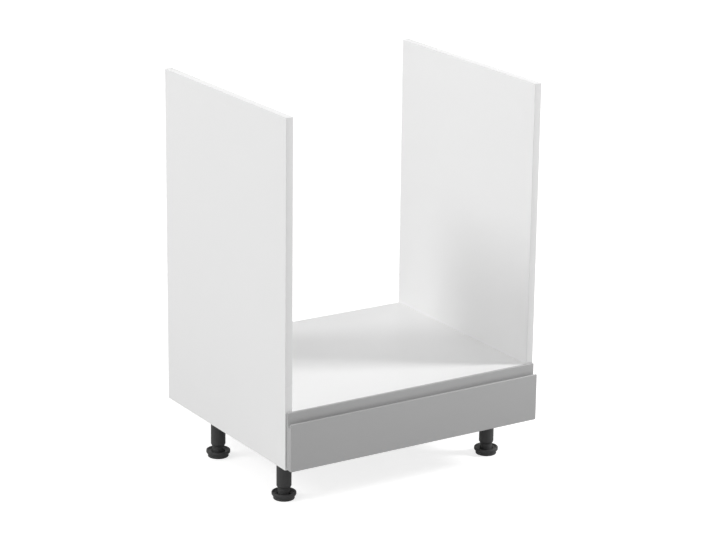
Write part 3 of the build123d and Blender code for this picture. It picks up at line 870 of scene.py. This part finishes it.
# %% [markdown]
# The foot is a dished cup with a rolled rim on a smaller base: the rim is what the hand grips and what the
# plinth clip rests above. The screw stem rises from a pit in the dish. Its radius swells and shrinks with
# height and angle together, which draws the screw line of the thread.

# %% Feet
BASE, BASE_TOP = 22.1, 8.6
RIM, RIM_TOP = 25.5, 15.0
DISH_LOW = 11.6
PIT, PIT_LOW = 14.3, 7.0
STEM, STEM_TOP = 12.9, 61.0
STEM_SUNK = 0.5
STEM_EASE = 1.2
STEM_SIDES = 40
THREAD_PITCH = 3.0
THREAD_DEPTH = 0.5
RINGS_PER_TURN = 6


def thread(radius, height, angle):
    """The rounded screw thread of the stem."""
    wave = math.cos(2 * math.pi * height / THREAD_PITCH - angle)
    return radius - THREAD_DEPTH * (0.5 - 0.5 * wave)


cup_line = rounded([
    (0.0, 0.0, 0), (BASE, 0.0, 1.4), (BASE, BASE_TOP, 0.6), (RIM, BASE_TOP, 1.3), (RIM, RIM_TOP, 1.6),
    (22.8, RIM_TOP, 0.9), (19.8, 12.7, 3.0), (PIT, DISH_LOW, 0.4), (PIT, PIT_LOW, 0.4), (0.0, PIT_LOW, 0),
])
turns = int((STEM_TOP - PIT_LOW) / THREAD_PITCH)
stem_line = [(STEM, PIT_LOW + THREAD_PITCH * k / RINGS_PER_TURN) for k in range(turns * RINGS_PER_TURN + 1)]
stem_line = [(0.0, PIT_LOW - STEM_SUNK), *stem_line, (STEM - STEM_EASE, STEM_TOP), (0.0, STEM_TOP)]
foot_shape = merged([turned(cup_line, ROUND_SIDES), turned(stem_line, STEM_SIDES, shift=thread)])
print("turns of thread on a stem:", turns)

# %% [markdown]
# The tube is plain outside, drawn in at its lower end to meet the stem, and bored for it. The plate above has
# rounded corners and a softened lower edge, and four gussets stiffen its collar.

# %% Tubes and sockets
TUBE, TUBE_BORE = 15.5, 13.15
TUBE_TOP, BORE_TOP, TUBE_TAPER, TUBE_END = 97.0, 94.0, 28.2, 24.5
PLATE_HALF, PLATE_CORNER = 32.0, 8.0
PLATE_TOP, PLATE_LOW = 100.0, 97.0
PLATE_LEVELS = ((PLATE_TOP, 1.0), (PLATE_LOW + 0.5, 1.0), (PLATE_LOW + 0.15, 0.996), (PLATE_LOW, 0.985))
COLLAR, COLLAR_BORE, COLLAR_LOW = 19.0, 15.7, 83.0
COLLAR_TOP = PLATE_LOW + 0.3
GUSSET_HALF = 1.2

tube_line = rounded([
    (0.0, TUBE_TOP, 0), (TUBE, TUBE_TOP, 0.4), (TUBE, TUBE_TAPER, 0.8), (13.6, TUBE_END + 0.6, 0.4),
    (13.5, TUBE_END, 0), (TUBE_BORE, TUBE_END, 0), (TUBE_BORE, BORE_TOP, 0), (0.0, BORE_TOP, 0),
])
tube_shape = turned(tube_line, ROUND_SIDES)

plate_line = rounded([(x * PLATE_HALF, y * PLATE_HALF, PLATE_CORNER) for x, y in SQUARE])
plate = pushed([[(x * scale, y * scale, z) for x, y in plate_line] for z, scale in PLATE_LEVELS])
collar_line = rounded([
    (COLLAR_BORE, COLLAR_LOW, 0.5), (COLLAR, COLLAR_LOW, 0.8), (COLLAR, COLLAR_TOP, 0),
    (COLLAR_BORE, COLLAR_TOP, 0),
])
gusset_line = [(17.4, COLLAR_TOP), (28.0, COLLAR_TOP), (27.6, PLATE_LOW - 0.8), (19.6, 87.4), (17.4, 87.0)]
gusset = pushed([[(a, side * GUSSET_HALF, b) for a, b in gusset_line] for side in (-1, 1)])


def quarter_turned(shape, quarters):
    """A shape turned by quarter turns about Z."""
    turn = Matrix.Rotation(math.pi / 2 * quarters, 3, "Z")
    return [tuple(turn @ Vector(p)) for p in shape[0]], shape[1]


gussets = [quarter_turned(gusset, k) for k in range(4)]
socket_shape = merged([plate, turned(collar_line, ROUND_SIDES, closed=True)] + gussets)
print("socket: faces", len(socket_shape[1]), "tube: faces", len(tube_shape[1]))

# %% [markdown]
# The three mouldings are made once and stand four times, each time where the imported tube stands. Plate and
# tube stay with the cabinet, while the foot rides on its own body, because it screws in and out.

# %% Legs in place
LEG_PARTS = {
    "leg_plate": ("socket", socket_shape), "leg_tube": ("tube", tube_shape),
    "foot": ("levelling_foot", foot_shape),
}
for place in ("front_left", "front_right", "back_left", "back_right"):
    low, high = (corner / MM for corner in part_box("leg_tube_" + place))
    spot = ((low.x + high.x) / 2, (low.y + high.y) / 2, 0.0)
    for part, (shown, shape) in LEG_PARTS.items():
        body = "foot_" + place if part == "foot" else "carcass"
        stood = placed(shape, spot)
        piece(f"{shown}_{place}", stood, plastic_finish, "black_plastic", body, f"{part}_{place}")

# %% [markdown]
# ## Screws
# A cross recess is pressed into each screw head with a tapered punch. It is cut here with the same tapered
# cross, by a Boolean modifier whose result is read back as a shape. The punch stands a little proud of the
# head, because two faces that lie in one plane cut badly.

# %% Punch
PUNCH_PROUD = 0.6
PUNCH_FLARE = 1.1


def carved(blank, cutter):
    """A shape with another one cut out of it."""
    made = []
    for shape in (blank, cutter):
        item = bpy.data.objects.new("cutting", as_mesh("cutting", shape))
        scene.collection.objects.link(item)
        made.append(item)
    cut = made[0].modifiers.new("cut", "BOOLEAN")
    cut.object = made[1]
    cut.solver = "EXACT"
    result = made[0].evaluated_get(bpy.context.evaluated_depsgraph_get()).to_mesh()
    points = [tuple(v.co / MM) for v in result.vertices]
    faces = [tuple(p.vertices) for p in result.polygons]
    for item in made:
        bpy.data.objects.remove(item)
    return points, faces


def cross_punch(top, depth, reach, arm, taper=0.45):
    """A tapered cross that points down from a height, a little proud of it."""
    corners = [
        (reach, -arm), (reach, arm), (arm, arm), (arm, reach), (-arm, reach), (-arm, arm),
        (-reach, arm), (-reach, -arm), (-arm, -arm), (-arm, -reach), (arm, -reach), (arm, -arm),
    ]
    return pushed([
        [(x * scale, y * scale, z) for x, y in corners]
        for z, scale in ((top + PUNCH_PROUD, PUNCH_FLARE), (top - depth, taper))
    ])


print("punch tools:", [tool.__name__ for tool in (carved, cross_punch)])

# %% [markdown]
# A pan head is a dome with a full shoulder: the cosine and sine of a quarter circle, each raised to a power
# below one, swell it. A sunk head is a cone under a flat face. The runner screws in the cabinet are sunk, so
# that the drawer clears them, and all the others have pan heads.

# %% Screw shapes
SCREW_SIDES = 32
TIP = 3.0
TIP_WIDTH = 0.4
DOME_ANGLES = (12, 30, 48, 66, 80)
RECESS_DEPTH = 1.6
RECESS_REACH = 0.52
RECESS_ARM = 0.13
SHOULDER_POWER, CROWN_POWER = 0.55, 0.75


def screw(shank, length, head, head_height, sunk=False):
    """A cross-head screw with its shank along -Z. A sunk head lies below its own face."""
    line = [(0.0, -length), (shank * TIP_WIDTH, -length), (shank, -length + TIP)]
    if sunk:
        corners = [(a, b, 0) for a, b in line]
        corners += [(shank, -head_height, 0), (head, -0.25, 0.1), (head, 0.0, 0), (0.0, 0.0, 0)]
        line = rounded(corners)
        top = 0.0
    else:
        angles = [math.radians(d) for d in DOME_ANGLES]
        line += [(shank, 0.0), (head, 0.0)]
        line += [
            (head * math.cos(a) ** SHOULDER_POWER, head_height * math.sin(a) ** CROWN_POWER) for a in angles
        ]
        line.append((0.0, head_height))
        top = head_height
    punch = cross_punch(top, min(RECESS_DEPTH, head_height), head * RECESS_REACH, head * RECESS_ARM)
    return carved(turned(line, SCREW_SIDES), punch)


FRONT_HEAD = 2.2
LEG_HEAD = 2.4
DRAWER_HEAD = 2.0
front_screw = screw(2.0, 28.0, 4.2, FRONT_HEAD)
leg_screw = screw(1.9, 14.0, 3.9, LEG_HEAD)
cabinet_screw = screw(2.0, 12.0, 3.1, 1.1, sunk=True)
drawer_screw = screw(2.0, 12.0, 3.6, DRAWER_HEAD)
print("faces of the front, leg, cabinet and drawer screws:",
      [len(shape[1]) for shape in (front_screw, leg_screw, cabinet_screw, drawer_screw)])

# %% [markdown]
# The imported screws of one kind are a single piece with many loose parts. Each loose part is found by walking
# along the edges from point to point until no new point turns up. Its box then says where one screw stands.

# %% Loose parts
SAME_POINT = 1e-6


def loose_parts(node):
    """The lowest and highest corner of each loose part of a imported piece, in millimetres."""
    work = bmesh.new()
    work.from_mesh(nodes[node].data)
    bmesh.ops.remove_doubles(work, verts=work.verts, dist=SAME_POINT)
    unseen = set(work.verts)
    parts = []
    while unseen:
        waiting = [unseen.pop()]
        reached = []
        while waiting:
            here = waiting.pop()
            reached.append(here.co / MM)
            for edge in here.link_edges:
                other = edge.other_vert(here)
                if other in unseen:
                    unseen.remove(other)
                    waiting.append(other)
        low = Vector(min(point[i] for point in reached) for i in range(3))
        high = Vector(max(point[i] for point in reached) for i in range(3))
        parts.append((low, high))
    work.free()
    return sorted(parts, key=lambda corners: tuple(corners[0]))


print({name: len(loose_parts(name)) for name in ("front_screws", "runner_screws_cabinet", "leg_screws")})

# %% [markdown]
# One screw of each kind is now repeated at every place where a packed one stands. What differs is where the
# head sits and which way it faces, so each kind has a small function that reads both off the box.

# %% Screws in place
def repeated(name, node, shape, slot, body, seat, material):
    """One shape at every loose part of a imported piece. Seat reads place and axis off its box."""
    shapes = [placed(shape, *seat(low, high)) for low, high in loose_parts(node)]
    piece(name, merged(shapes), material, slot, body, node)


def middle(low, high):
    """The centre of a box."""
    return (low + high) / 2


def facing_back(low, high):
    """Seat of the screws that hold the front, heads inside the drawer."""
    centre = middle(low, high)
    return (centre.x, high.y - FRONT_HEAD, centre.z), (0, 1, 0)


def facing_down(low, high):
    """Seat of the screws that hold the socket plates, heads down."""
    centre = middle(low, high)
    return (centre.x, centre.y, low.z + LEG_HEAD), (0, 0, -1)


def facing_inwards(low, high):
    """Seat of the runner screws in the cabinet: heads look towards the middle."""
    centre = middle(low, high)
    if centre.x < 0:
        return (high.x, centre.y, centre.z), (1, 0, 0)
    return (low.x, centre.y, centre.z), (-1, 0, 0)


def facing_outwards(low, high):
    """Seat of the runner screws in the drawer: heads look away from the middle."""
    centre = middle(low, high)
    if centre.x < 0:
        return (low.x + DRAWER_HEAD, centre.y, centre.z), (-1, 0, 0)
    return (high.x - DRAWER_HEAD, centre.y, centre.z), (1, 0, 0)


for name, node, shape, body, seat in (
    ("cross_screws_front", "front_screws", front_screw, "drawer", facing_back),
    ("cross_screws_legs", "leg_screws", leg_screw, "carcass", facing_down),
    ("cross_screws_cabinet", "runner_screws_cabinet", cabinet_screw, "carcass", facing_inwards),
    ("cross_screws_drawer", "runner_screws_drawer", drawer_screw, "drawer", facing_outwards),
):
    repeated(name, node, shape, "screw_steel", body, seat, screw_finish)

# %% [markdown]
# ## Cams, balls and bumpers
# A cam sits in a bored pocket and grips the head of a bolt when it is turned by half a turn. It is cast in
# zinc with a raised rim and a cross slot. In the two decks the slot looks down, in the rail backwards.

# %% Cams
CAM_SIDES = 40
RAIL_REACH = 254.0

cam_line = [
    (0.0, -12.2), (6.9, -12.2), (7.4, -11.7), (7.4, -0.3), (7.1, 0.0), (6.3, 0.0), (6.0, -0.5), (0.0, -0.5),
]
cam_shape = carved(turned(cam_line, CAM_SIDES), cross_punch(-0.5, 2.6, 3.8, 0.9, taper=0.7))


def cam_face(low, high):
    """Seat of a cam. One that reaches the back of the cabinet is in the rail."""
    centre = middle(low, high)
    if high.y > RAIL_REACH:
        return (centre.x, high.y, centre.z), (0, 1, 0)
    return (centre.x, centre.y, low.z), (0, 0, -1)


repeated("slotted_cams", "cam_housings", cam_shape, "zinc", "carcass", cam_face, cam_finish)

# %% [markdown]
# The balls of the runners are plain polished spheres held by the cages. A half circle from pole to pole is
# spun round, and each row of balls rides on its own cage.

# %% Balls
BALL_SIDES = 24
BALL_RINGS = 12
BALL_RADIUS = {"outer": 2.1, "inner": 1.7}


def at_centre(low, high):
    """Seat of a ball."""
    return middle(low, high), (0, 0, 1)


for side in ("left", "right"):
    for row, radius in BALL_RADIUS.items():
        angles = [math.pi * (k / BALL_RINGS - 0.5) for k in range(1, BALL_RINGS)]
        arc = [(radius * math.cos(a), radius * math.sin(a)) for a in angles]
        ball = turned([(0.0, -radius), *arc, (0.0, radius)], BALL_SIDES)
        repeated(
            f"round_balls_{row}_{side}", f"balls_{row}_{side}", ball, "ball_steel", f"cage_{row}_{side}",
            at_centre, ball_finish,
        )

# %% [markdown]
# The bumpers are small clear domes on the back of the front that take the knock when the drawer closes. They
# are poured on a flat sheet and peeled off it, so the face that sticks is flat.

# %% Bumpers
BUMPER_SIDES = 32
dome_line = [(0.0, 0.0), (4.0, 0.0), (3.95, 0.35), (3.55, 0.95), (2.7, 1.5), (1.5, 1.82), (0.0, 1.9)]


def stuck_on(low, high):
    """Seat of a bumper: flat on the front, dome looking backwards."""
    centre = middle(low, high)
    return (centre.x, low.y, centre.z), (0, 1, 0)


bumper = turned(dome_line, BUMPER_SIDES)
repeated("clear_bumpers", "front_bumpers", bumper, "bumper_rubber", "drawer", stuck_on, bumper_finish)
